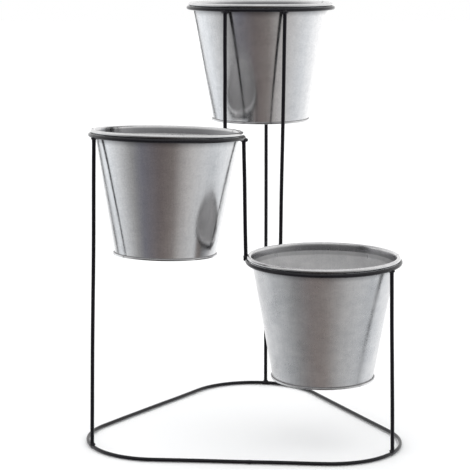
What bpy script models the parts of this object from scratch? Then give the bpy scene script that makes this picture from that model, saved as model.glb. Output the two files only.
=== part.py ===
"""Three-tier plant stand: a welded round-wire frame that carries three tapered zinc buckets.

Units are metres, +Z is up and the stand faces -Y. The origin is on the floor, in the
middle of the rectangle that the stand covers.
"""

from math import cos, pi, radians, sin, tan

import bmesh
import bpy
from mathutils import Vector

# Wire frame
WIRE_RADIUS = 0.0025
BASE_CORNER_RADIUS = 0.0950     # bend radius of the base wire, at the middle of the wire
BASE_CORNER_REACH = 0.1244      # middle of the base to the centre of each bend
BASE_TURN = -4.2                # degrees about Z
RING_RADIUS = 0.0975            # middle of the wire
RING_REACH = 0.1157             # middle of the group of rings to each ring's centre
RING_TURN = -6.7
RING_GROUP_SHIFT = (0.0043, 0.0007)   # middle of the rings from the middle of the base
STRUT_REACH = 0.1002            # strut foot from its ring's centre: the bucket's rim passes it
BASE_JOINT_ALONG = 0.546        # where the base wire's ends meet: share of its front run
FRONT = 270.0                   # direction of the stand's front
BEND_SWEEP = 120.0              # how far each base bend turns

# Welds
BUTT_BAND = 0.0004              # half the width of a butt weld's raised band
FILLET_LENGTH = 0.0045          # along the rod, from the surface of the wire
FILLET_TIP = 0.0003             # thickness where the fillet runs out on the rod
FILLET_WAIST = 0.0008           # thickness on the way down, and how far down that is
FILLET_WAIST_DROP = 0.0022
FILLET_SHOULDER = 0.0014        # thickness beside the wire, and where it turns in again
FILLET_TURN_IN = 0.0006
FILLET_HEM = 0.0006             # thickness level with the middle of the wire

# Buckets, heights measured from the underside of the bucket
SHEET = 0.0006
RIM_RADIUS = 0.0945             # middle of the rolled edge
RIM_BEAD_RADIUS = 0.0027
RIM_WIRE_RADIUS = 0.0018
RIM_ABOVE_RING = 0.0048
BUCKET_RIM_HEIGHT = 0.1560
WALL_FOOT_RADIUS = 0.0643
FOOT_SEAM_RADIUS = 0.0669
CURL_END = -110.0               # degrees: where the rolled edge stops, short of the wall
FOLD_LAP = 0.0011               # how far the floor's edge folds in over the wall's flange
PANEL_RADIUS = 0.0600           # the floor's middle, pressed up, and the slope round it
PANEL_SLOPE = 0.0012
PANEL_RISE = 0.0010

# Fits and facets
GAP = 0.0003
CLEAR = 1.5 * GAP               # the gap, and what the facets take from it
RIM_WAY_HEIGHT = 0.02           # how far the space cut for a lifted rim reaches
FLOOR_CUT = 0.02                # side of the block of ground cut from the base's weld
WIRE_SIDES = 10
RIM_WIRE_SIDES = 8
BUTT_STEPS = 12
BUTT_SIDES = 6
BEND_STEPS = 12
CURL_STEPS = 9
RING_STEPS = 48
BUCKET_STEPS = 40
COLLAR_STEPS = 12
MERGE = 0.00005

UP = Vector((0.0, 0.0, 1.0))

# tier: height of its ring, direction of its ring from the middle of the group,
# where its upright meets the ring, and how far round the base bend that upright stands
TIERS = {
    "top": (0.5524, 90.0, 84.9, -6.7),
    "middle": (0.3967, 210.0, 203.5, -1.6),
    "lower": (0.2397, 330.0, 327.1, 2.6),
}

# tier: how far its ring and bucket lean, in degrees towards +X and towards +Y
LEANS = {"top": (0.0, 0.0), "middle": (1.2, 2.65), "lower": (0.0, 0.0)}

# strut: the ring it stands on, the ring it holds, and its direction from each ring's centre
STRUTS = {
    "strut_lower_to_middle": ("lower", "middle", 171.0, -4.7),
    "strut_lower_to_top": ("lower", "top", 122.1, -71.8),
    "strut_middle_to_top": ("middle", "top", 43.5, 241.0),
}


def polar(radius, angle, centre=(0.0, 0.0), height=0.0):
    """Return the point at a radius and an angle in degrees round a centre."""
    turn = radians(angle)
    return Vector((centre[0] + radius * cos(turn), centre[1] + radius * sin(turn), height))


def wire_lift():
    """Return the height of a wire's middle when it lies flat on the floor."""
    return WIRE_RADIUS * cos(pi / WIRE_SIDES)


def base_corners(shift=(0.0, 0.0)):
    """Return the centres of the three base bends, in the tiers' order."""
    return {tier: polar(BASE_CORNER_REACH, spec[1] + BASE_TURN, shift)
            for tier, spec in TIERS.items()}


def ring_centres(shift=(0.0, 0.0)):
    """Return the centres of the three rings, each at its own height."""
    middle = (shift[0] + RING_GROUP_SHIFT[0], shift[1] + RING_GROUP_SHIFT[1])
    return {tier: polar(RING_REACH, spec[1] + RING_TURN, middle, spec[0])
            for tier, spec in TIERS.items()}


def tier_axis(tier):
    """Return the direction of the axis that a tier's ring and bucket share."""
    right, back = LEANS[tier]
    return Vector((tan(radians(right)), tan(radians(back)), 1.0)).normalized()


def on_tier(tier, radius, angle, shift):
    """Return the point at a radius and an angle round a ring, in the ring's own plane."""
    lean = UP.rotation_difference(tier_axis(tier))
    return ring_centres(shift)[tier] + lean @ polar(radius, angle)


def footprint_shift():
    """Return the move that puts the middle of the stand's footprint on the origin."""
    round_ends = [(c, BASE_CORNER_RADIUS) for c in base_corners().values()]
    round_ends += [(c, RING_RADIUS) for c in ring_centres().values()]
    shift = []
    for axis in (0, 1):
        low = min(centre[axis] - radius for centre, radius in round_ends)
        high = max(centre[axis] + radius for centre, radius in round_ends)
        shift.append(-(low + high) / 2)
    return shift


# ---------------------------------------------------------------- scene helpers

def clear_scene():
    for old in list(bpy.data.objects):
        bpy.data.objects.remove(old, do_unlink=True)


def make_collection(name):
    collection = bpy.data.collections.new(name)
    bpy.context.scene.collection.children.link(collection)
    return collection


def make_material(name, colour, metallic, roughness):
    material = bpy.data.materials.new(name)
    material.use_nodes = True
    shader = material.node_tree.nodes["Principled BSDF"]
    shader.inputs["Base Color"].default_value = (*colour, 1.0)
    shader.inputs["Metallic"].default_value = metallic
    shader.inputs["Roughness"].default_value = roughness
    return material


def add_object(name, data, collection, material=None):
    thing = bpy.data.objects.new(name, data)
    collection.objects.link(thing)
    if material:
        data.materials.append(material)
    return thing


def move_to(thing, collection):
    """Leave the thing in this one collection."""
    for other in thing.users_collection:
        other.objects.unlink(thing)
    collection.objects.link(thing)
    return thing


def curve_data(name, points, radius, sides, closed=False):
    """Return a round wire along the points, as a poly curve."""
    curve = bpy.data.curves.new(name, "CURVE")
    curve.dimensions = "3D"
    curve.twist_mode = "Z_UP"
    curve.bevel_depth = radius
    curve.bevel_resolution = sides // 2 - 2
    curve.use_fill_caps = not closed
    spline = curve.splines.new("POLY")
    spline.points.add(len(points) - 1)
    for slot, point in zip(spline.points, points):
        slot.co = (*point, 1.0)
    spline.use_cyclic_u = closed
    return curve


def profile_mesh(name, points, closed=False):
    """Return a flat outline in the XZ plane, from (radius, height) pairs."""
    mesh = bpy.data.meshes.new(name)
    edges = [(i, i + 1) for i in range(len(points) - 1)]
    if closed:
        edges.append((len(points) - 1, 0))
    mesh.from_pydata([(radius, 0.0, height) for radius, height in points], edges, [])
    return mesh


def turn_profile(thing, steps):
    screw = thing.modifiers.new("turn", "SCREW")
    screw.steps = steps
    screw.render_steps = steps
    screw.use_merge_vertices = True
    screw.merge_threshold = MERGE
    screw.use_smooth_shade = True


def thicken(thing, thickness):
    solidify = thing.modifiers.new("sheet", "SOLIDIFY")
    solidify.thickness = thickness
    solidify.offset = 0.0
    solidify.use_even_offset = True


def mesh_from(thing, name):
    """Return the thing's evaluated shape as a mesh, with its loose caps welded on."""
    bpy.context.view_layer.update()
    depsgraph = bpy.context.evaluated_depsgraph_get()
    mesh = bpy.data.meshes.new_from_object(thing.evaluated_get(depsgraph))
    mesh.name = name
    shape = bmesh.new()
    shape.from_mesh(mesh)
    bmesh.ops.remove_doubles(shape, verts=shape.verts, dist=MERGE)
    shape.to_mesh(mesh)
    shape.free()
    return mesh


def add_torus(name, place, along, radius, thickness, segments, sides, collection):
    """Add a torus about the direction along to the collection."""
    bpy.ops.mesh.primitive_torus_add(
        location=place, rotation=along.to_track_quat("Z", "X").to_euler(),
        major_radius=radius, minor_radius=thickness,
        major_segments=segments, minor_segments=sides)
    torus = bpy.context.object
    torus.name = name
    torus.data.name = name
    torus.data.shade_smooth()
    return move_to(torus, collection)


# ---------------------------------------------------------------- wire frame

def base_points(shift):
    """Return the base wire's route: three bends joined by straight runs."""
    points = []
    corners = base_corners(shift)
    for tier, (_, direction, _, _) in TIERS.items():
        for step in range(BEND_STEPS + 1):
            angle = direction + BASE_TURN + BEND_SWEEP * (step / BEND_STEPS - 0.5)
            points.append(polar(BASE_CORNER_RADIUS, angle, corners[tier], wire_lift()))
    return points


def front_run(shift):
    """Return the two ends of the base wire's straight front run, left end first."""
    corners = base_corners(shift)
    normal = FRONT + BASE_TURN
    left = polar(BASE_CORNER_RADIUS, normal, corners["middle"], wire_lift())
    right = polar(BASE_CORNER_RADIUS, normal, corners["lower"], wire_lift())
    return left, right


def make_ring(tier, centre, parts, material):
    ring = add_torus(f"{tier}_ring", centre, tier_axis(tier), RING_RADIUS, WIRE_RADIUS,
                     RING_STEPS, WIRE_SIDES, parts)
    ring.data.materials.append(material)


def upright_ends(tier, shift):
    """Return the foot and the head of a tier's upright, on the wires' middles."""
    _, direction, on_ring, round_bend = TIERS[tier]
    foot = polar(BASE_CORNER_RADIUS, direction + BASE_TURN + round_bend,
                 base_corners(shift)[tier], wire_lift())
    return foot, on_tier(tier, RING_RADIUS, on_ring, shift)


def strut_ends(name, shift):
    """Return the foot and the head of a strut, in the planes of its two rings."""
    below, above, foot_angle, head_angle = STRUTS[name]
    return (on_tier(below, STRUT_REACH, foot_angle, shift),
            on_tier(above, RING_RADIUS, head_angle, shift))


def rod_between(foot, head):
    """Return the rod's own ends: it stops a gap short of the wires it is welded to."""
    along = (head - foot).normalized()
    short = WIRE_RADIUS + CLEAR
    return foot + along * short, head - along * short


def make_rod(name, foot, head, parts, material):
    curve = curve_data(name, rod_between(foot, head), WIRE_RADIUS, WIRE_SIDES)
    return add_object(name, curve, parts, material)


# ---------------------------------------------------------------- welds

def collar_profile():
    """Return a weld fillet's section: (radius, distance from the wire's middle)."""
    bore = WIRE_RADIUS + GAP
    reach = WIRE_RADIUS + FILLET_LENGTH
    return [
        (bore, reach),
        (bore + FILLET_TIP, reach),
        (bore + FILLET_WAIST, reach - FILLET_WAIST_DROP),
        (bore + FILLET_SHOULDER, WIRE_RADIUS + GAP),
        (bore + FILLET_SHOULDER, FILLET_TURN_IN),
        (bore + FILLET_HEM, 0.0),
        (bore, 0.0),
    ]


def hide_cutter(cutter):
    cutter.hide_render = True
    cutter.display_type = "WIRE"
    return cutter


def make_cutters(shift, cutters):
    """Return the wires, grown by the gap, that the weld fillets are cut to fit."""
    grown = WIRE_RADIUS + GAP
    found = {}
    for tier, centre in ring_centres(shift).items():
        torus = add_torus(f"{tier}_ring_cutter", centre, tier_axis(tier), RING_RADIUS, grown,
                          RING_STEPS * 2, WIRE_SIDES, cutters)
        found[tier] = hide_cutter(torus)
    curve = curve_data("base_route", base_points(shift), grown, WIRE_SIDES, True)
    route = add_object("base_route", curve, cutters)
    found["base"] = hide_cutter(
        add_object("base_cutter", mesh_from(route, "base_cutter"), cutters))
    bpy.data.objects.remove(route, do_unlink=True)
    return found


def make_bucket_ways(shift, cutters):
    """Return, for each ring, the round space that its bucket's rim needs to lift out."""
    found = {}
    for tier, centre in ring_centres(shift).items():
        bpy.ops.mesh.primitive_cylinder_add(
            vertices=BUCKET_STEPS * 2, radius=RIM_RADIUS + RIM_BEAD_RADIUS + CLEAR,
            depth=RIM_WAY_HEIGHT, location=centre + tier_axis(tier) * RIM_WAY_HEIGHT / 2,
            rotation=UP.rotation_difference(tier_axis(tier)).to_euler())
        way = move_to(bpy.context.object, cutters)
        way.name = f"{tier}_bucket_way"
        found[tier] = hide_cutter(way)
    return found


def make_collar(name, seat, away, cutters_here, parts, material):
    """Make one weld fillet round a rod's end, cut clear of the pieces beside it."""
    collar = add_object(name, profile_mesh(name, collar_profile(), closed=True), parts, material)
    collar.location = seat
    collar.rotation_euler = away.to_track_quat("Z", "X").to_euler()
    turn_profile(collar, COLLAR_STEPS)
    for cutter in cutters_here:
        cut = collar.modifiers.new(cutter.name, "BOOLEAN")
        cut.operation = "DIFFERENCE"
        cut.object = cutter


def make_base_butt_weld(shift, parts, cutters, material):
    """Make the raised band on the base wire's butt joint, flat where it meets the floor."""
    left, right = front_run(shift)
    seat = left.lerp(right, BASE_JOINT_ALONG)
    bead = add_torus("base_wire_butt_weld", seat, right - left,
                     WIRE_RADIUS + GAP + BUTT_BAND, BUTT_BAND, BUTT_STEPS, BUTT_SIDES, parts)
    bead.data.materials.append(material)
    bpy.ops.mesh.primitive_cube_add(
        size=FLOOR_CUT, location=(seat.x, seat.y, GAP - FLOOR_CUT / 2))
    ground = move_to(bpy.context.object, cutters)
    ground.name = "ground_cutter"
    cut = bead.modifiers.new("ground", "BOOLEAN")
    cut.operation = "DIFFERENCE"
    cut.object = hide_cutter(ground)


def make_welds(shift, parts, cutters, material):
    """Make the fillet at every rod end, and the bead on the base wire."""
    wires = make_cutters(shift, cutters)
    ways = make_bucket_ways(shift, cutters)
    for tier in TIERS:
        foot, head = upright_ends(tier, shift)
        up = (head - foot).normalized()
        make_collar(f"{tier}_upright_foot_weld", foot, up, [wires["base"]], parts, material)
        make_collar(f"{tier}_upright_head_weld", head, -up, [wires[tier]], parts, material)
    for name, (below, above, _, _) in STRUTS.items():
        foot, head = strut_ends(name, shift)
        up = (head - foot).normalized()
        make_collar(f"{name}_foot_weld", foot, up, [wires[below], ways[below]], parts, material)
        make_collar(f"{name}_head_weld", head, -up, [wires[above]], parts, material)
    make_base_butt_weld(shift, parts, cutters, material)


# ---------------------------------------------------------------- buckets

def wall_profile():
    """Return the wall sheet's middle line: foot flange, cone, then the rolled edge."""
    flange_height = SHEET * 1.5 + GAP
    curl = RIM_BEAD_RADIUS - SHEET / 2
    points = [
        (FOOT_SEAM_RADIUS - SHEET - GAP - SHEET / 2, flange_height),
        (WALL_FOOT_RADIUS, flange_height),
    ]
    for step in range(CURL_STEPS + 1):
        turn = radians(180.0 + (CURL_END - 180.0) * step / CURL_STEPS)
        points.append((RIM_RADIUS + curl * cos(turn), BUCKET_RIM_HEIGHT + curl * sin(turn)))
    return points


def floor_profile():
    """Return the floor sheet's middle line: pressed panel, then the fold over the flange."""
    edge = FOOT_SEAM_RADIUS - SHEET / 2
    fold = SHEET * 2.5 + 2 * GAP
    return [
        (0.0, SHEET / 2 + PANEL_RISE),
        (PANEL_RADIUS, SHEET / 2 + PANEL_RISE),
        (PANEL_RADIUS + PANEL_SLOPE, SHEET / 2),
        (edge, SHEET / 2),
        (edge, fold),
        (edge - FOLD_LAP, fold),
    ]


def rim_wire_profile():
    """Return the section of the wire inside the rolled edge."""
    turns = [-2 * pi * side / RIM_WIRE_SIDES for side in range(RIM_WIRE_SIDES)]
    return [(RIM_RADIUS + RIM_WIRE_RADIUS * cos(turn),
             BUCKET_RIM_HEIGHT + RIM_WIRE_RADIUS * sin(turn)) for turn in turns]


def make_bucket(tier, ring_centre, parts, zinc, steel):
    """Make one bucket as three pieces that hang from an empty on the bucket's axis."""
    axis = bpy.data.objects.new(f"{tier}_bucket_axis", None)
    parts.objects.link(axis)
    axis.location = ring_centre + tier_axis(tier) * (RIM_ABOVE_RING - BUCKET_RIM_HEIGHT)
    axis.rotation_euler = UP.rotation_difference(tier_axis(tier)).to_euler()

    wall = add_object(f"{tier}_bucket_wall", profile_mesh("wall", wall_profile()), parts, zinc)
    turn_profile(wall, BUCKET_STEPS)
    thicken(wall, SHEET)

    floor = add_object(f"{tier}_bucket_floor", profile_mesh("floor", floor_profile()), parts, zinc)
    turn_profile(floor, BUCKET_STEPS)
    thicken(floor, SHEET)

    core = add_object(f"{tier}_bucket_rim_wire",
                      profile_mesh("rim_wire", rim_wire_profile(), closed=True), parts, steel)
    turn_profile(core, BUCKET_STEPS)

    for piece in (wall, floor, core):
        piece.parent = axis


def main():
    clear_scene()
    parts = make_collection("plant_stand")
    cutters = make_collection("cutters")
    black = make_material("black_enamel", (0.012, 0.012, 0.013), 0.0, 0.22)
    weld = make_material("weld_enamel", (0.014, 0.014, 0.015), 0.0, 0.32)
    zinc = make_material("zinc_sheet", (0.62, 0.63, 0.64), 1.0, 0.32)
    steel = make_material("rim_steel", (0.45, 0.45, 0.46), 1.0, 0.45)

    shift = footprint_shift()
    base = curve_data("base_wire", base_points(shift), WIRE_RADIUS, WIRE_SIDES, True)
    add_object("base_wire", base, parts, black)
    for tier, centre in ring_centres(shift).items():
        make_ring(tier, centre, parts, black)
        make_rod(f"{tier}_upright", *upright_ends(tier, shift), parts, black)
        make_bucket(tier, centre, parts, zinc, steel)
    for name in STRUTS:
        make_rod(name, *strut_ends(name, shift), parts, black)
    make_welds(shift, parts, cutters, weld)


main()
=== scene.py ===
"""Looks of the three-tier plant stand: black enamelled wire and satin zinc buckets."""

from math import atan2, cos, exp, hypot, pi, radians, sin, tau

import bmesh
import bpy
from mathutils import Matrix, Vector, noise


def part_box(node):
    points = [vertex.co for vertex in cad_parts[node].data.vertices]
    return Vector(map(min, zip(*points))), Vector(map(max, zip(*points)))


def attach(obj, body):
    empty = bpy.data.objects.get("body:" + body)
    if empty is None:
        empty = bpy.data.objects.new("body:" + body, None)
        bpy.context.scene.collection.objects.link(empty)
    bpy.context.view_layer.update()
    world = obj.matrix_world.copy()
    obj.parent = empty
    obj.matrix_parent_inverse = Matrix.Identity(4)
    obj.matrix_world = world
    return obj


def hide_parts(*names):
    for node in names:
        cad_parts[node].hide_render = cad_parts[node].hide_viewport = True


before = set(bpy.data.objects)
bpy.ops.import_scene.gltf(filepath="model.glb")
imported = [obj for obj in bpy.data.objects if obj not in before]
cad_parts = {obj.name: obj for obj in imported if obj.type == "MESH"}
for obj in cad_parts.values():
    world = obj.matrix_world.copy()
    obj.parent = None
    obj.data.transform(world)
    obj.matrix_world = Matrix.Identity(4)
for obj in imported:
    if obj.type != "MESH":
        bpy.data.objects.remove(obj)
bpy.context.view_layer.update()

TIERS = ("top", "middle", "lower")
STRUTS = {
    # node: the tiers whose rings it joins, the lower one first
    "strut_lower_to_middle": ("lower", "middle"),
    "strut_lower_to_top": ("lower", "top"),
    "strut_middle_to_top": ("middle", "top"),
}
FRAME_BODY = "frame"

# ---------------------------------------------------------------- camera

SENSOR_WIDTH = 36.0         # millimetres, as the lens
LENS = 125.0043
CAMERA_PLACE = (0.0046, -2.1321, 0.6324)
CAMERA_PITCH = 10.0         # degrees down
CAMERA_TURN = 0.442         # degrees to the left


def make_camera():
    data = bpy.data.cameras.new("camera")
    data.sensor_width = SENSOR_WIDTH
    data.lens = LENS
    data.clip_end = 60.0
    camera = bpy.data.objects.new("camera", data)
    camera.location = CAMERA_PLACE
    camera.rotation_euler = (radians(90.0 - CAMERA_PITCH), 0.0, radians(CAMERA_TURN))
    bpy.context.scene.collection.objects.link(camera)
    bpy.context.scene.camera = camera


# ---------------------------------------------------------------- node helpers

class Nodes:
    """A small wrapper that adds and links shader nodes."""

    def __init__(self, tree):
        self.tree = tree
        tree.nodes.clear()

    def fill(self, socket, value):
        if isinstance(value, bpy.types.NodeSocket):
            self.tree.links.new(value, socket)
        else:
            socket.default_value = value

    def add(self, kind, inputs=(), **settings):
        node = self.tree.nodes.new(kind)
        for name, value in settings.items():
            setattr(node, name, value)
        for name, value in dict(inputs).items():
            self.fill(node.inputs[name], value)
        return node

    def math(self, operation, first, second=0.0, third=0.0):
        node = self.add("ShaderNodeMath", {0: first, 1: second, 2: third}, operation=operation)
        return node.outputs[0]

    def swing(self, value, weight, start):
        """Return start plus weight times how far a 0 to 1 pattern is from its middle."""
        return self.math("MULTIPLY_ADD", self.math("SUBTRACT", value, 0.5), weight, start)

    def remap(self, value, low, high, out_low=0.0, out_high=1.0):
        node = self.add("ShaderNodeMapRange", {
            "Value": value, "From Min": low, "From Max": high,
            "To Min": out_low, "To Max": out_high}, interpolation_type="SMOOTHSTEP")
        return node.outputs["Result"]

    def noise(self, vector, scale, detail=3.0, roughness=0.5):
        node = self.add("ShaderNodeTexNoise", {
            "Vector": vector, "Scale": scale, "Detail": detail, "Roughness": roughness})
        return node.outputs["Fac"]

    def stretch(self, vector, scale):
        node = self.add("ShaderNodeMapping", {"Vector": vector, "Scale": scale})
        return node.outputs["Vector"]

    def mix(self, factor, first, second):
        node = self.add("ShaderNodeMix", data_type="RGBA")
        for name, value in (("Factor", factor), ("A", first), ("B", second)):
            kind = "VALUE" if name == "Factor" else "RGBA"
            self.fill(next(s for s in node.inputs if s.name == name and s.type == kind), value)
        return next(s for s in node.outputs if s.type == "RGBA")

    def ramp(self, value, stops):
        node = self.add("ShaderNodeValToRGB", {"Fac": value})
        elements = node.color_ramp.elements
        while len(elements) < len(stops):
            elements.new(0.5)
        for element, (place, colour) in zip(elements, sorted(stops)):
            element.position = place
            element.color = (*colour, 1.0)
        return node.outputs["Color"]

    def bump(self, height, strength, distance, normal=None):
        inputs = {"Height": height, "Strength": strength, "Distance": distance}
        if normal is not None:
            inputs["Normal"] = normal
        return self.add("ShaderNodeBump", inputs).outputs["Normal"]


def new_material(name):
    material = bpy.data.materials.new(name)
    material.use_nodes = True
    return material, Nodes(material.node_tree)


def add_shader(n, inputs):
    """Give a material its one shader and its output."""
    shader = n.add("ShaderNodeBsdfPrincipled", inputs)
    n.add("ShaderNodeOutputMaterial", {"Surface": shader.outputs[0]})


# ---------------------------------------------------------------- studio

# The studio is what glossy surfaces see: two bands of light round the stand, one under the
# other, and a ceiling over them. Matt surfaces see plain white instead. A depth is how far a
# direction points below the bands' top edge, as the height of a unit vector.

FLOOR_LIGHT = 1.34          # how much brighter than white the light on matt surfaces is
BAND_TOP = -0.37            # height of the bands' top edge in front; behind, it is 0
BAND_TILT = 0.02            # how much lower the front band ends on the left than in front
CEILING_EDGE = (-0.10, -0.02)   # depths between which the ceiling turns into the front band
BAND_EDGE = (0.065, 0.125)  # depths between which the front band turns into the one below
LINE_END = (0.13, 0.17)     # depths between which the dark line on the left ends
LINE_LEAN = -0.4167         # the line's lean,
LINE_SHARE = 0.0140         # its direction at eye level,
LINE_WIDTH = 0.0065         # and its half width, all as shares of a turn
LINE_BLUR = 2.2             # half width to where the line has faded, over LINE_WIDTH


def grey(level, warm=0.0):
    return (level * (1.0 + warm), level, level * (1.0 - warm))


# The bands: direction in degrees, 0 towards the camera, and colour. They are dim in front,
# where the camera's side of the room is dark, and white behind.
FRONT_BAND = (
    (-179.9, grey(1.45)), (-150, grey(1.2, -0.02)), (-120, grey(1.1, -0.04)),
    (-90, grey(0.8, -0.02)), (-60, grey(0.36)), (-42, (0.20, 0.20, 0.235)),
    (-10, (0.17, 0.145, 0.145)), (15, (0.22, 0.19, 0.18)), (45, (0.62, 0.6, 0.59)),
    (90, grey(1.0, -0.03)), (135, grey(1.4)), (179.9, grey(1.45)))
UNDER_BAND = (
    (-179.9, grey(1.4)), (-145, grey(0.95, -0.01)), (-105, grey(0.6, -0.03)),
    (-75, grey(0.45, -0.03)), (-55, grey(0.29)), (-25, (0.28, 0.24, 0.225)),
    (5, (0.30, 0.265, 0.25)), (35, grey(0.52)), (70, grey(0.63, -0.02)),
    (90, grey(0.57, -0.04)), (112, grey(0.87, -0.03)), (179.9, grey(1.3)))
# The ceiling in front, by height, and how much of the white sides each direction gets.
DIM_CEILING = (
    (0.06, grey(0.015)), (0.187, grey(0.13)), (0.342, grey(0.42)), (0.57, grey(0.72)),
    (1.0, grey(0.82)))
WHITE_SIDES = (
    (-118, grey(1.0)), (-84, grey(0.55)), (-50, grey(0.08)), (-10, grey(0.0)),
    (15, grey(0.05)), (50, grey(0.25)), (88, grey(0.80)), (118, grey(1.0)))


def band_ramp(n, share, band):
    """Return a band's colour, its directions turned into shares of a turn."""
    return n.ramp(share, [(0.5 + degrees / 360.0, colour) for degrees, colour in band])


def low_studio(n, turn, share, up, depth):
    """Return the two bands with the dark line on the left."""
    tilted = n.math("MULTIPLY_ADD", n.math("SINE", turn), BAND_TILT, depth)
    bands = n.mix(n.remap(tilted, *BAND_EDGE), band_ramp(n, share, FRONT_BAND),
                  band_ramp(n, share, UNDER_BAND))
    middle = n.math("MULTIPLY_ADD", up, LINE_LEAN, LINE_SHARE)
    gap = n.math("ABSOLUTE", n.math("SUBTRACT", share, middle))
    beside = n.remap(gap, LINE_WIDTH, LINE_WIDTH * LINE_BLUR)
    clear = n.math("MAXIMUM", beside, n.remap(depth, *LINE_END))
    return n.mix(clear, (0.0, 0.0, 0.0, 1.0), bands)


def high_studio(n, share, up):
    """Return the ceiling: dim in front, white at the sides and behind."""
    white = n.remap(up, 0.55, 0.90, 1.0, 0.80)
    return n.mix(band_ramp(n, share, WHITE_SIDES), n.ramp(up, DIM_CEILING), white)


def make_world():
    """Light the stand from a white studio whose front is open to a dim room."""
    world = bpy.data.worlds.new("studio")
    bpy.context.scene.world = world
    world.use_nodes = True
    n = Nodes(world.node_tree)
    direction = n.add("ShaderNodeTexCoord").outputs["Generated"]
    east, north, up = n.add("ShaderNodeSeparateXYZ", {"Vector": direction}).outputs
    turn = n.math("ARCTAN2", east, n.math("MULTIPLY", north, -1.0))
    share = n.math("MULTIPLY_ADD", turn, 1.0 / tau, 0.5)
    band_top = n.math("MULTIPLY", n.math("COSINE", n.math("MULTIPLY", turn, 0.5)), BAND_TOP)
    depth = n.math("SUBTRACT", band_top, up)
    studio = n.mix(n.remap(depth, *CEILING_EDGE), high_studio(n, share, up),
                   low_studio(n, turn, share, up, depth))

    path = n.add("ShaderNodeLightPath")
    soft = n.math("MULTIPLY_ADD", path.outputs["Is Diffuse Ray"], FLOOR_LIGHT - 1.0, 1.0)
    white = n.add("ShaderNodeCombineColor", {"Red": soft, "Green": soft, "Blue": soft})
    colour = n.mix(path.outputs["Is Glossy Ray"], white.outputs["Color"], studio)
    background = n.add("ShaderNodeBackground", {"Color": colour, "Strength": 1.0})
    n.add("ShaderNodeOutputWorld", {"Surface": background.outputs[0]})


FLOOR_REACH = 12.0          # from the middle of the studio's floor to its edge
FLOOR_GAP = 0.0002          # how far the floor lies under the stand


def make_floor():
    material, n = new_material("floor")
    add_shader(n, {"Base Color": (0.93, 0.935, 0.94, 1.0), "Roughness": 0.9,
                   "Specular IOR Level": 0.1})
    shape = bmesh.new()
    bmesh.ops.create_grid(shape, x_segments=4, y_segments=4, size=FLOOR_REACH)
    mesh = mesh_from(shape, "floor")
    mesh.materials.append(material)
    floor = bpy.data.objects.new("floor", mesh)
    floor.location.z = -FLOOR_GAP
    floor.visible_glossy = False
    bpy.context.scene.collection.objects.link(floor)


# ---------------------------------------------------------------- materials

DUST = (0.045, 0.045, 0.047, 1.0)
ZINC_DULL = (0.565, 0.57, 0.585, 1.0)
ZINC_BRIGHT = (0.90, 0.89, 0.885, 1.0)
# Painted shade: the colour of a dark band painted just under each bucket's rim, standing in for
# the ring's shadow on the outside and the shade under the rim on the inside; then where that
# band starts and is full, and its strength, on a wall's outside.
PAINTED_SHADE_COLOUR = (0.16, 0.16, 0.17, 1.0)
OUTSIDE_SHADE_BAND = (0.90, 0.965, 0.75)     # as in INSIDES, for a wall's outside


def enamel(name, grain, lumps):
    """Return gloss black enamel over wire, with dust and a little orange peel."""
    material, n = new_material(name)
    place = n.add("ShaderNodeTexCoord").outputs["Object"]
    blotch = n.noise(place, 60.0, 4.0)
    dust = n.remap(n.noise(place, 900.0, 2.0, 0.7), 0.60, 0.74)
    black = n.mix(blotch, (0.0040, 0.0036, 0.0058, 1.0), (0.0075, 0.0068, 0.0096, 1.0))
    colour = n.mix(n.math("MULTIPLY", dust, 0.20), black, DUST)
    rough = n.math("MULTIPLY_ADD", dust, 0.12, n.remap(blotch, 0.3, 0.7, 0.15, 0.23))
    peel = n.bump(n.noise(place, grain, 2.0), 0.25, 0.00004)
    normal = n.bump(n.noise(place, 260.0, 3.0), 0.5, lumps, peel)
    add_shader(n, {"Base Color": colour, "Roughness": rough, "Normal": normal,
                   "Specular IOR Level": 0.32, "IOR": 1.5})
    return material


def zinc_patterns(n, seed):
    """Return the height up the wall, 0 to 1, and the patterns that the sheet's looks share."""
    coords = n.add("ShaderNodeTexCoord")
    around = coords.outputs["UV"]
    place = n.add("ShaderNodeVectorMath", {0: coords.outputs["Object"], 1: (seed, seed * 2, 0)},
                  operation="ADD").outputs[0]
    lines = n.noise(n.stretch(around, (60.0, 700.0, 1.0)), 1.0, 2.0)
    return {
        "height": n.add("ShaderNodeSeparateXYZ", {"Vector": around}).outputs["Y"],
        "grain": n.noise(n.stretch(around, (420.0, 7.0, 1.0)), 1.0, 4.0, 0.65),
        "band": n.noise(n.stretch(around, (60.0, 2.0, 1.0)), 1.0, 3.0, 0.55),
        "scratch": n.remap(lines, 0.66, 0.80),
        "cloud": n.noise(place, 21.0, 5.0, 0.62),
        "speck": n.noise(place, 480.0, 3.0, 0.7),
        "mottle": n.noise(n.stretch(place, (60.0, 60.0, 110.0)), 1.0, 4.0, 0.6),
        "buckle": n.noise(place, 28.0, 2.0),
    }


def zinc_colour(n, sheet, haze, shade_band):
    tone = n.swing(sheet["cloud"], 0.60 * haze, 0.5)
    tone = n.swing(sheet["grain"], 0.40, tone)
    tone = n.swing(sheet["band"], 0.30, tone)
    tone = n.swing(sheet["speck"], 0.80, tone)
    tone = n.swing(sheet["mottle"], 0.50 * haze, tone)
    tone = n.math("MULTIPLY_ADD", sheet["scratch"], -0.07 * haze, tone)
    clean = n.mix(tone, ZINC_DULL, ZINC_BRIGHT)
    # The band darkened here is painted shade under the bead, where the ring and the rim shadow
    # the wall; it is kept off the bead's top.
    start, full, strength = shade_band
    cloudy_height = n.swing(sheet["cloud"], 0.03, sheet["height"])
    shade_under_bead = n.remap(cloudy_height, start, full, 0.0, strength)
    off_bead = n.remap(sheet["height"], 0.990, 1.002, 1.0, 0.0)
    return n.mix(n.math("MULTIPLY", shade_under_bead, off_bead), clean, PAINTED_SHADE_COLOUR)


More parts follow.
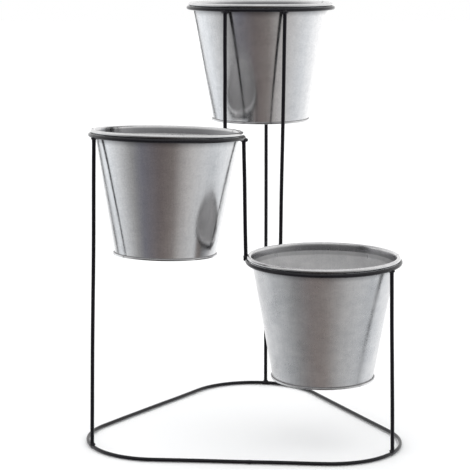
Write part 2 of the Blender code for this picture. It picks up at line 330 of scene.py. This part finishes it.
def zinc_roughness(n, sheet, haze, shine):
    rough = n.math("MULTIPLY_ADD", n.remap(sheet["cloud"], 0.35, 0.65), 0.07 * haze, shine)
    rough = n.swing(sheet["grain"], 0.10, rough)
    rough = n.math("MULTIPLY_ADD", sheet["scratch"], 0.03, rough)
    bead = n.remap(sheet["height"], 0.972, 0.984)
    return n.math("MULTIPLY", rough, n.math("MULTIPLY_ADD", bead, -0.25, 1.0))


def zinc_normal(n, sheet, haze):
    normal = n.bump(sheet["grain"], 0.16, 0.00010)
    normal = n.bump(sheet["speck"], 0.14, 0.00008, normal)
    normal = n.bump(sheet["mottle"], 0.12 * haze, 0.00030, normal)
    normal = n.bump(sheet["band"], 0.10, 0.00040, normal)
    return n.bump(sheet["buckle"], 0.12 * haze, 0.0010, normal)


def zinc(name, seed, haze, shine, metal=1.0, shade_band=OUTSIDE_SHADE_BAND):
    """Return rolled zinc sheet: fine vertical grain, cloudy patches, light scratches and
    painted shade under the rim.
    """
    material, n = new_material(name)
    sheet = zinc_patterns(n, seed)
    add_shader(n, {"Base Color": zinc_colour(n, sheet, haze, shade_band), "Metallic": metal,
                   "Roughness": zinc_roughness(n, sheet, haze, shine),
                   "Normal": zinc_normal(n, sheet, haze)})
    return material


def rim_steel(name):
    """Return the dull steel of the wires inside the rolled rims."""
    material, n = new_material(name)
    patch = n.noise(n.add("ShaderNodeTexCoord").outputs["Object"], 90.0, 3.0)
    colour = n.mix(patch, (0.30, 0.30, 0.31, 1.0), (0.48, 0.47, 0.46, 1.0))
    add_shader(n, {"Base Color": colour, "Metallic": 1.0,
                   "Roughness": n.remap(patch, 0.3, 0.7, 0.35, 0.55)})
    return material


# ---------------------------------------------------------------- mesh helpers

def toward(angle):
    """Return the level direction at this angle, in radians from +X."""
    return Vector((cos(angle), sin(angle), 0.0))


def wobble(point, scale, amount, seed):
    return noise.noise(Vector(point) * scale + Vector((seed, seed, seed))) * amount


def mesh_from(shape, name):
    mesh = bpy.data.meshes.new(name)
    shape.to_mesh(mesh)
    shape.free()
    return mesh


def add_piece(name, mesh, material, body, slot, *nodes):
    mesh.materials.append(material)
    mesh.shade_smooth()
    piece = bpy.data.objects.new(name, mesh)
    bpy.context.scene.collection.objects.link(piece)
    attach(piece, body)
    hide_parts(*nodes)
    return piece


def node_points(node):
    return [vertex.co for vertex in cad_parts[node].data.vertices]


def middle_of(points):
    return sum(points, Vector()) / len(points)


def bucket_place(tier):
    """Return the bucket's own frame: its underside's middle, with +Z up its axis."""
    rim = middle_of(node_points(f"{tier}_bucket_rim_wire"))
    base = node_points(f"{tier}_bucket_floor")
    axis = (rim - middle_of(base)).normalized()
    turn = Vector((0, 0, 1)).rotation_difference(axis).to_matrix().to_4x4()
    underside = min((point - rim).dot(axis) for point in base)
    return Matrix.Translation(rim + axis * underside) @ turn


def across(along, last_side):
    """Return two directions across a route, the first as near as it can be to the last one."""
    side = last_side
    if side is None:
        side = along.cross(Vector((0, 0, 1)))
        if side.length < 0.1:
            side = along.cross(Vector((0, 1, 0)))
    side = (side - along * side.dot(along)).normalized()
    return side, along.cross(side)


def skin(shape, rings, closed):
    """Join each ring of points to the next, and cap the ends of an open tube."""
    sides = len(rings[0])
    following = rings[1:] + rings[:1] if closed else rings[1:]
    for here, there in zip(rings, following):
        for j in range(sides):
            k = (j + 1) % sides
            shape.faces.new((here[j], here[k], there[k], there[j]))
    if not closed:
        shape.faces.new(list(reversed(rings[0])))
        shape.faces.new(rings[-1])
    bmesh.ops.recalc_face_normals(shape, faces=shape.faces)


def sweep(name, route, radius_at, closed):
    """Return a tube along the route: radius_at(share, angle) gives its section."""
    shape = bmesh.new()
    count = len(route)
    spans = count if closed else count - 1
    rings = []
    side = None
    for i, point in enumerate(route):
        before = route[i - 1] if closed or i else point
        after = route[(i + 1) % count] if closed or i + 1 < count else point
        side, over = across((after - before).normalized(), side)
        ring = []
        for j in range(TUBE_SIDES):
            angle = tau * j / TUBE_SIDES
            reach = radius_at(i / spans, angle)
            ring.append(shape.verts.new(point + side * (reach * cos(angle))
                                        + over * (reach * sin(angle))))
        rings.append(ring)
    skin(shape, rings, closed)
    return mesh_from(shape, name)


# ---------------------------------------------------------------- wires

WIRE = 0.0025               # radius of every wire
TUBE_SIDES = 20
RIPPLE = 0.00004            # how uneven the enamel on the rings and the base wire is

RING_STEPS = 300
RING_BEND = 0.00035         # how far a ring strays in and out
RING_RISE = 0.00030         # how far it strays up and down
RING_JOINTS = {"top": 274.0, "middle": 297.5, "lower": 283.0}   # degrees from +X

BEND_RADIUS = 0.0950        # of the base wire's three bends
BEND_REACH = 0.1244         # from the base's middle to the middle of each bend
BEND_BEARINGS = (90.0, 210.0, 330.0)
BEND_SWEEP = 120.0
BEND_STEPS = 40
RUN_STEPS = 60
BASE_TURN = -4.2            # degrees that the whole base is turned by
BASE_JOINT = 0.546          # where its ends meet, as a share of the run that holds the joint
FRONT_RUN = 1               # which is the run after the second bend
BASE_DRIFT = 0.0004         # how far the base wire strays

ROD_STEPS = 60
ROD_OVERLAP = 0.0016        # how far a rod runs on into its welds
ROD_DRIFT = 0.0007          # how far a rod bows


def butt_swell(distance):
    """Return how far a ground butt weld stands out, this far along the wire from it."""
    band = 0.00030 * exp(-(distance / 0.0016) ** 2)
    seam = 0.00018 * exp(-(distance / 0.0003) ** 2)
    return band - seam


def round_gap(share, joint, length):
    """Return the shorter way to the joint along a closed wire of this length."""
    gap = abs(share - joint)
    return min(gap, 1.0 - gap) * length


def ring_place(tier):
    """Return the ring's own frame, which leans as its bucket does."""
    low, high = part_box(f"{tier}_ring")
    lean = bucket_place(tier).to_quaternion().to_matrix().to_4x4()
    return Matrix.Translation((low + high) / 2) @ lean


def ring_piece(tier, material):
    """Add one ring, a little out of true and with its ground butt weld."""
    place = ring_place(tier)
    middle = place.translation
    radius = max((point - middle).length for point in node_points(f"{tier}_ring")) - WIRE
    joint = RING_JOINTS[tier] / 360.0
    route = []
    for i in range(RING_STEPS):
        out = toward(tau * i / RING_STEPS)
        bend = radius + wobble(out, 1.6, RING_BEND, len(tier))
        rise = wobble(out, 1.3, RING_RISE, len(tier) + 9)
        route.append(place @ (out * bend + Vector((0, 0, rise))))

    def section(share, angle):
        swell = butt_swell(round_gap(share, joint, tau * radius))
        return WIRE + swell + RIPPLE * sin(7.0 * tau * share + angle)

    mesh = sweep(f"{tier}_ring_wire", route, section, True)
    return add_piece(f"{tier}_ring_wire", mesh, material, FRAME_BODY, "black_enamel",
                     f"{tier}_ring")


def base_middle(corners):
    """Return the middle that puts the bends, with wire round them, in the CAD wire's box."""
    low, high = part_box("base_wire")
    middle = Vector((0.0, 0.0, WIRE))
    for axis in (0, 1):
        values = [corner[axis] for corner in corners]
        middle[axis] = (low[axis] + high[axis]) / 2 - (min(values) + max(values)) / 2
    return middle


def base_route():
    """Return the base wire's middle line, and the share of it where its ends meet."""
    corners = [toward(radians(bearing + BASE_TURN)) * BEND_REACH for bearing in BEND_BEARINGS]
    middle = base_middle(corners)
    route = []
    joint = 0
    for i, corner in enumerate(corners):
        first = BEND_BEARINGS[i] + BASE_TURN - BEND_SWEEP / 2
        angles = [radians(first + BEND_SWEEP * s / BEND_STEPS) for s in range(BEND_STEPS + 1)]
        route += [middle + corner + toward(angle) * BEND_RADIUS for angle in angles]
        start = route[-1]
        end = start + corners[(i + 1) % len(corners)] - corner
        if i == FRONT_RUN:
            joint = len(route) + BASE_JOINT * RUN_STEPS
        route += [start.lerp(end, s / RUN_STEPS) for s in range(1, RUN_STEPS)]
    return route, joint / len(route)


def strayed(point):
    """Return a point of the base wire, moved a little, and never down."""
    rise = 0.00005 + abs(wobble(point, 9.0, BASE_DRIFT, 5))
    east = wobble(point, 14.0, BASE_DRIFT, 3)
    north = wobble(point, 14.0, BASE_DRIFT, 8)
    return point + Vector((east, north, rise))


def base_piece(material):
    """Add the base wire with its butt weld, and keep it above the floor."""
    route, joint = base_route()
    total = sum((b - a).length for a, b in zip(route, route[1:] + route[:1]))

    def section(share, angle):
        bead = 2.4 * butt_swell(round_gap(share, joint, total) * 0.8)
        uneven = 0.75 + 0.25 * sin(angle)
        return WIRE + max(0.0, bead * uneven) + RIPPLE * sin(9.0 * tau * share + angle)

    mesh = sweep("base_loop_wire", [strayed(point) for point in route], section, True)
    for vertex in mesh.vertices:
        vertex.co.z = max(vertex.co.z, 0.0)
    return add_piece("base_loop_wire", mesh, material, FRAME_BODY, "black_enamel",
                     "base_wire", "base_wire_butt_weld")


def rod_ends(node):
    """Return the middles of the foot and the head of a straight CAD rod."""
    points = node_points(node)
    low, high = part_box(node)
    level = (low.z + high.z) / 2
    ends = []
    for group in ([p for p in points if p.z < level], [p for p in points if p.z >= level]):
        box_low = Vector([min(p[i] for p in group) for i in range(3)])
        box_high = Vector([max(p[i] for p in group) for i in range(3)])
        ends.append((box_low + box_high) / 2)
    return ends


def rod_piece(node, material):
    """Add one upright or strut, slightly bowed and let into its welds."""
    foot, head = rod_ends(node)
    up = (head - foot).normalized()
    start = foot - up * ROD_OVERLAP
    end = head + up * ROD_OVERLAP
    side = up.cross(Vector((0, 1, 0))).normalized()
    over = up.cross(side)
    seed = sum(map(ord, node)) % 97
    route = []
    for i in range(ROD_STEPS + 1):
        share = i / ROD_STEPS
        bow = sin(pi * share)
        drift = side * wobble((share, 0, 0), 2.2, ROD_DRIFT, seed) * bow
        drift += over * wobble((0, share, 0), 2.2, ROD_DRIFT, seed + 5) * bow
        route.append(start.lerp(end, share) + drift)

    def section(share, angle):
        return WIRE + 0.00003 * sin(11.0 * share + angle)

    mesh = sweep(f"{node}_rod", route, section, False)
    return add_piece(f"{node}_rod", mesh, material, FRAME_BODY, "black_enamel", node)


# ---------------------------------------------------------------- welds

RING_RADIUS = 0.0975        # to the middle of a ring's wire
WELD_STANDOFF = 0.00295     # rod's end to the middle of the wire that it is welded to
STUB_UP = 0.0078            # how far a weld's piece follows the rod
STUB_ALONG = 0.0052         # and the wire to each side
STUB_SKIN = 0.00012         # how far it stands out round both
BULK = 1.15                 # size of most welds
STRUT_HEAD_BULK = 1.5       # and of those where a strut meets the upper ring
BLOBS = 7                   # molten blobs round the rod's end
BLOB_RADIUS = 0.0013
BLOB_VARIETY = 0.0004       # by how much more or less
BLOB_RISE = 0.0026          # from the wire's middle towards the rod
BLOB_REACH = 0.0022         # out from the rod's middle
BLOB_LEAN = 0.0006          # towards the side where the wire is
VOXEL = 0.00034             # grain of the remesh that fuses a weld


def stub(shape, start, end):
    along = end - start
    radius = WIRE + STUB_SKIN
    turn = along.to_track_quat("Z", "X").to_matrix().to_4x4()
    place = Matrix.Translation((start + end) / 2) @ turn
    bmesh.ops.create_cone(shape, cap_ends=True, segments=TUBE_SIDES, radius1=radius,
                          radius2=radius, depth=along.length, matrix=place)


def add_blobs(shape, seat, away, wire_along, lean, seed, bulk):
    cross = wire_along.cross(away).normalized()
    for turn in range(BLOBS):
        angle = tau * turn / BLOBS + seed
        out = wire_along * cos(angle) + cross * sin(angle)
        size = (BLOB_RADIUS + BLOB_VARIETY * sin(seed * 3.1 + turn * 2.3)) * bulk
        spot = seat + away * BLOB_RISE + out * BLOB_REACH * bulk + lean * BLOB_LEAN
        bmesh.ops.create_icosphere(shape, subdivisions=2, radius=size,
                                   matrix=Matrix.Translation(spot))


def fuse(piece):
    """Run rod, wire and blobs together, and let them flow."""
    remesh = piece.modifiers.new("fuse", "REMESH")
    remesh.mode = "VOXEL"
    remesh.voxel_size = VOXEL
    remesh.use_smooth_shade = True
    relax = piece.modifiers.new("flow", "SMOOTH")
    relax.factor = 0.5
    relax.iterations = 9


def weld_piece(name, seat, away, wire_along, lean, seed, bulk, material, *nodes):
    """Add the fillet weld at a rod's end: seat is in the wire, away points up the rod."""
    shape = bmesh.new()
    stub(shape, seat, seat + away * STUB_UP)
    stub(shape, seat - wire_along * STUB_ALONG, seat + wire_along * STUB_ALONG)
    add_blobs(shape, seat, away, wire_along, lean, seed, bulk)
    piece = add_piece(name, mesh_from(shape, name), material, FRAME_BODY, "weld_enamel", *nodes)
    fuse(piece)
    return piece


def wire_beside(seat, place):
    """Return the ring wire's direction beside a seat, and the way from the seat to it."""
    spot = place.inverted() @ seat
    out = Vector((spot.x, spot.y, 0.0)).normalized()
    turn = place.to_3x3()
    return turn @ Vector((-out.y, out.x, 0.0)), turn @ (out * RING_RADIUS - spot) / WIRE


def base_beside(seat, route):
    near = min(range(len(route)), key=lambda i: (route[i] - seat).length)
    return (route[(near + 1) % len(route)] - route[near - 1]).normalized(), Vector()


def make_welds(material):
    route, _ = base_route()
    rods = {f"{tier}_upright": (None, tier) for tier in TIERS} | STRUTS
    for seed, (rod, (below, above)) in enumerate(rods.items()):
        foot, head = rod_ends(rod)
        up = (head - foot).normalized()
        ends = {"foot": (foot - up * WELD_STANDOFF, up, below),
                "head": (head + up * WELD_STANDOFF, -up, above)}
        for end, (seat, away, tier) in ends.items():
            if tier:
                along, lean = wire_beside(seat, ring_place(tier))
            else:
                along, lean = base_beside(seat, route)
            bulk = STRUT_HEAD_BULK if end == "head" and below else BULK
            weld_piece(f"{rod}_{end}_weld_bead", seat, away, along, lean, seed + 0.7, bulk,
                       material, f"{rod}_{end}_weld")


# ---------------------------------------------------------------- buckets

SHEET = 0.0005              # thickness of the zinc
BUCKETS = {
    # tier: direction of the side seam, haze of the zinc, its roughness
    "top": (24.0, 1.0, 0.16),
    "middle": (26.0, 0.8, 0.15),
    "lower": (3.0, 1.5, 0.25),
}
INSIDES = {
    # tier: metallic value of the inner face, and the painted shade in a band under the rim: the
    # shares of the height where it starts and is full, and its strength
    "top": (0.80, (0.93, 0.97, 0.15)),
    "middle": (0.80, (0.93, 0.97, 0.20)),
    "lower": (0.72, (0.912, 0.926, 0.36)),
}
INSIDE_HAZE = 1.4
INSIDE_SHINE = 0.27

BEAD = 0.0027               # radius of the rolled rim
BEAD_START = -142.0         # degrees: where the outside of the wall runs into the bead
BEAD_STEPS = 22
WALL_ROWS = 26              # rows of faces up each side of a bucket's wall
WALL_STEPS = 220            # columns round it, and more at the side seam
FOOT_INSET = 0.0026         # from the folded edge of the floor in to the wall's foot
WALL_DENT = 0.000495        # how far the wall's shallow dents go in and out
WALL_OVAL = 0.00035         # how far from round the rim is
SEAM_STEP = 0.0011          # radians between the columns at the side seam
LAP_WIDTH = 0.0075          # where one edge of the sheet lies over the other
LAP_RAMP = 0.0003           # how soon the overlapping edge reaches its full rise
NOTCH_DEPTH = 0.0011        # the joint in the rolled rim,
NOTCH_WIDTH = 0.0007
SOLDER_RISE = 0.0003        # and the solder beside it
SOLDER_PLACE = 0.004
SOLDER_WIDTH = 0.003

FLOOR_STEPS = 160
PANEL_TOP = 0.0016          # the floor's pressed-up middle: its height, its edge,
PANEL_EDGE = 0.0598
RIBS = ((0.016, 0.022), (0.048, 0.0555))    # the radii where its ribs start and end,
RIB_RISE = 0.0003           # and their height
LOW_TOP = 0.0006            # top of the floor between that middle and the folded edge
FOLD_ROUND = 0.0007         # radius of the folded edge's top,
FOLD_FOOT = 0.0006          # and of its foot
EDGE_LUMP = 0.00018         # how uneven that edge is


def bucket_sizes(tier):
    """Return the sizes of the bucket's CAD pieces in the bucket's own frame."""
    to_bucket = bucket_place(tier).inverted()
    wall = [to_bucket @ point for point in node_points(f"{tier}_bucket_wall")]
    base = [to_bucket @ point for point in node_points(f"{tier}_bucket_floor")]
    foot = max(point.xy.length for point in base)
    return {
        "rim": max(point.xy.length for point in wall) - BEAD,
        "height": max(point.z for point in wall) - BEAD,
        "foot": foot,
        "seam": max(point.z for point in base if point.xy.length > 0.9 * foot),
    }


def arc(radius, z, reach, first, last, steps):
    """Return the points of an arc of a section, between two angles in degrees."""
    angles = [radians(first + (last - first) * i / steps) for i in range(steps + 1)]
    return [(radius + reach * cos(angle), z + reach * sin(angle)) for angle in angles]


def wall_outline(size):
    """Return the wall's section, outside first, from the foot over the bead and back down."""
    rim, height, foot, seam = size["rim"], size["height"], size["foot"], size["seam"]
    base = foot - FOOT_INSET
    slope = (rim - BEAD - base + 0.0003) / height
    flare = seam * 1.1
    crease = height - BEAD * 0.80
    outline = [(base + 0.0009, seam * 0.62), (base + 0.0004, seam * 0.80),
               (base + 0.0001 + slope * seam, flare)]
    for i in range(1, WALL_ROWS + 1):
        z = flare + (crease - flare) * i / WALL_ROWS
        outline.append((base + slope * z, z))
    outline += arc(rim, height, BEAD, BEAD_START, 180.0, BEAD_STEPS)
    inner_top = height - BEAD * 0.6
    inner_foot = seam * 0.55
    for i in range(WALL_ROWS + 1):
        z = inner_top + (inner_foot - inner_top) * i / WALL_ROWS
        outline.append((base + slope * z - SHEET, z))
    return outline


def wall_angles(seam):
    """Return the angles of the wall's columns, closer together across the side seam."""
    angles = [tau * i / WALL_STEPS for i in range(WALL_STEPS)]
    angles += [seam + step * SEAM_STEP for step in range(-10, 11)]
    angles += [seam + step * SEAM_STEP
               for step in (-60, -45, -30, -20, -15, 15, 20, 30, 45, 60, 80)]
    return sorted(set(round(angle % tau, 6) for angle in angles))


def lap_step(offset, radius):
    """Return how far the overlapping edge stands out, this angle past the side seam."""
    along = offset * radius
    if along < -LAP_RAMP or along > LAP_WIDTH:
        return 0.0
    rise = min(1.0, (along + LAP_RAMP) / LAP_RAMP)
    fade = 1.0 - max(0.0, along / LAP_WIDTH) ** 3
    return SHEET * 0.9 * rise * fade


def rim_notch(offset, radius):
    """Return how deep the joint in the rolled rim is, this angle from the side seam."""
    along = offset * radius
    notch = NOTCH_DEPTH * exp(-(along / NOTCH_WIDTH) ** 4)
    return notch - SOLDER_RISE * exp(-((along - SOLDER_PLACE) / SOLDER_WIDTH) ** 2)


def wall_column(shape, tier, size, outline, seam, angle):
    """Add the wall's section at one angle, with dents, the side seam and the rim's joint."""
    rim, height = size["rim"], size["height"]
    out = toward(angle)
    offset = (angle - seam + pi) % tau - pi
    pull = rim_notch(offset, rim)
    column = []
    for radius, z in outline:
        share = min(1.0, z / height)
        dent = wobble(out * 1.7 + Vector((0, 0, z * 9.0)), 1.0, WALL_DENT, len(tier) * 3.3)
        oval = WALL_OVAL * cos(2.0 * (angle - seam * 1.3)) * share
        reach = radius + dent * sin(pi * share) + oval
        if hypot(radius - rim, z - height) < BEAD * 1.01:
            reach += (rim - radius) / BEAD * pull
            z += (height - z) / BEAD * pull
        elif z > size["seam"] and 0 < len(column) < len(outline) // 2:
            reach += lap_step(offset, radius)
        column.append(shape.verts.new(out * reach + Vector((0, 0, z))))
    return column


def wall_faces(shape, uv, columns, angles, heights):
    """Skin the wall. The faces of its inside get the mesh's second material."""
    rows = len(heights)
    inner_row = rows - WALL_ROWS - 1
    turns = [angle / tau for angle in angles] + [1.0]
    for i, here in enumerate(columns):
        there = columns[(i + 1) % len(columns)]
        for j in range(rows):
            k = (j + 1) % rows
            face = shape.faces.new((here[j], there[j], there[k], here[k]))
            face.material_index = 1 if j > inner_row else 0
            corners = ((turns[i], heights[j]), (turns[i + 1], heights[j]),
                       (turns[i + 1], heights[k]), (turns[i], heights[k]))
            for loop, corner in zip(face.loops, corners):
                loop[uv].uv = corner
    bmesh.ops.recalc_face_normals(shape, faces=shape.faces)


def turned_wall(tier, size, seam):
    """Return the wall with its rolled rim; seam is the side seam's angle."""
    outline = wall_outline(size)
    angles = wall_angles(seam)
    shape = bmesh.new()
    uv = shape.loops.layers.uv.new("around")
    columns = [wall_column(shape, tier, size, outline, seam, angle) for angle in angles]
    wall_faces(shape, uv, columns, angles, [z / size["height"] for _, z in outline])
    mesh = mesh_from(shape, f"{tier}_bucket_sheet")
    mesh.transform(bucket_place(tier))
    return mesh


def ribbed_panel(level):
    """Return one face of the floor's pressed-up middle, from its centre to its last rib."""
    points = [(0.0, level)]
    for start, end in RIBS:
        third = (end - start) / 3
        points += [(start, level), (start + third, level + RIB_RISE),
                   (end - third, level + RIB_RISE), (end, level)]
    return points


def floor_outline(size):
    """Return the floor's section from the middle of its top, round the seam, to below."""
    foot, seam = size["foot"], size["seam"]
    lip = foot - 0.0016
    points = ribbed_panel(PANEL_TOP)
    points += [(PANEL_EDGE, PANEL_TOP), (PANEL_EDGE + 0.0008, PANEL_TOP - 0.0003),
               (PANEL_EDGE + 0.0015, PANEL_TOP - 0.0008), (PANEL_EDGE + 0.0022, LOW_TOP),
               (foot - 0.0030, LOW_TOP), (foot - 0.0018, LOW_TOP + SHEET),
               (lip - 0.0002, seam - SHEET), (lip, seam - 0.00012), (lip + 0.0004, seam)]
    points += arc(foot - FOLD_ROUND, seam - FOLD_ROUND, FOLD_ROUND, 90.0, 0.0, 6)
    points += arc(foot - FOLD_FOOT, FOLD_FOOT, FOLD_FOOT, 0.0, -90.0, 6)
    points += [(foot - 0.0040, 0.0), (PANEL_EDGE + 0.0019, 0.0002),
               (PANEL_EDGE + 0.0010, PANEL_TOP - 0.0008),
               (PANEL_EDGE + 0.0002, PANEL_TOP - SHEET)]
    points += reversed(ribbed_panel(PANEL_TOP - SHEET))
    return points


def floor_columns(shape, tier, foot, outline):
    """Add the floor's section all round, with lumps in its folded edge."""
    top = shape.verts.new((0, 0, outline[0][1]))
    bottom = shape.verts.new((0, 0, outline[-1][1]))
    columns = []
    for i in range(FLOOR_STEPS):
        out = toward(tau * i / FLOOR_STEPS)
        column = [top]
        for radius, z in outline[1:-1]:
            edge = max(0.0, radius / foot - 0.93) / 0.07
            lump = wobble(out * 2.4, 1.0, EDGE_LUMP, len(tier)) * edge
            column.append(shape.verts.new(out * (radius + lump) + Vector((0, 0, z))))
        columns.append(column + [bottom])
    return columns


def turned_floor(tier, size):
    """Return the floor as a turned disc whose edge folds over the wall's foot."""
    shape = bmesh.new()
    uv = shape.loops.layers.uv.new("around")
    columns = floor_columns(shape, tier, size["foot"], floor_outline(size))
    for here, there in zip(columns, columns[1:] + columns[:1]):
        for j in range(len(here) - 1):
            corners = dict.fromkeys((here[j], here[j + 1], there[j + 1], there[j]))
            face = shape.faces.new(list(corners))
            for loop in face.loops:
                flat = loop.vert.co.xy
                loop[uv].uv = (atan2(flat.y, flat.x) / tau, flat.length / size["foot"])
    bmesh.ops.recalc_face_normals(shape, faces=shape.faces)
    mesh = mesh_from(shape, f"{tier}_bucket_base")
    mesh.transform(bucket_place(tier))
    return mesh


def make_bucket(tier, index, steel):
    """Add one bucket's wall and floor. Its rim wire stays the CAD one, in steel."""
    seam_degrees, haze, shine = BUCKETS[tier]
    metal, shade_band = INSIDES[tier]
    size = bucket_sizes(tier)
    seed = 3.7 * index + 1.3
    # Both faces get a band of painted shade under the rim: the outside under the ring, the
    # inside as INSIDES gives.
    outside = zinc(f"zinc_{tier}", seed, haze, shine)
    inside = zinc(f"zinc_inside_{tier}", seed + 1.0, INSIDE_HAZE, INSIDE_SHINE, metal, shade_band)
    wall = turned_wall(tier, size, radians(seam_degrees))
    sheet = add_piece(f"{tier}_bucket_sheet", wall, outside, f"{tier}_bucket", "zinc_sheet",
                      f"{tier}_bucket_wall")
    sheet.data.materials.append(inside)
    base = turned_floor(tier, size)
    add_piece(f"{tier}_bucket_base", base, outside, f"{tier}_bucket", "zinc_sheet",
              f"{tier}_bucket_floor")
    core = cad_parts[f"{tier}_bucket_rim_wire"]
    core.data.materials.clear()
    core.data.materials.append(steel)


# ---------------------------------------------------------------- scene

def main():
    bpy.context.scene.view_settings.view_transform = "Standard"
    make_camera()
    make_world()
    make_floor()
    black = enamel("black_enamel", 1400.0, 0.00012)
    weld = enamel("weld_enamel", 1900.0, 0.00035)
    steel = rim_steel("rim_steel")
    for tier in TIERS:
        ring_piece(tier, black)
        rod_piece(f"{tier}_upright", black)
    for node in STRUTS:
        rod_piece(node, black)
    base_piece(black)
    make_welds(weld)
    for index, tier in enumerate(TIERS):
        make_bucket(tier, index, steel)


main()
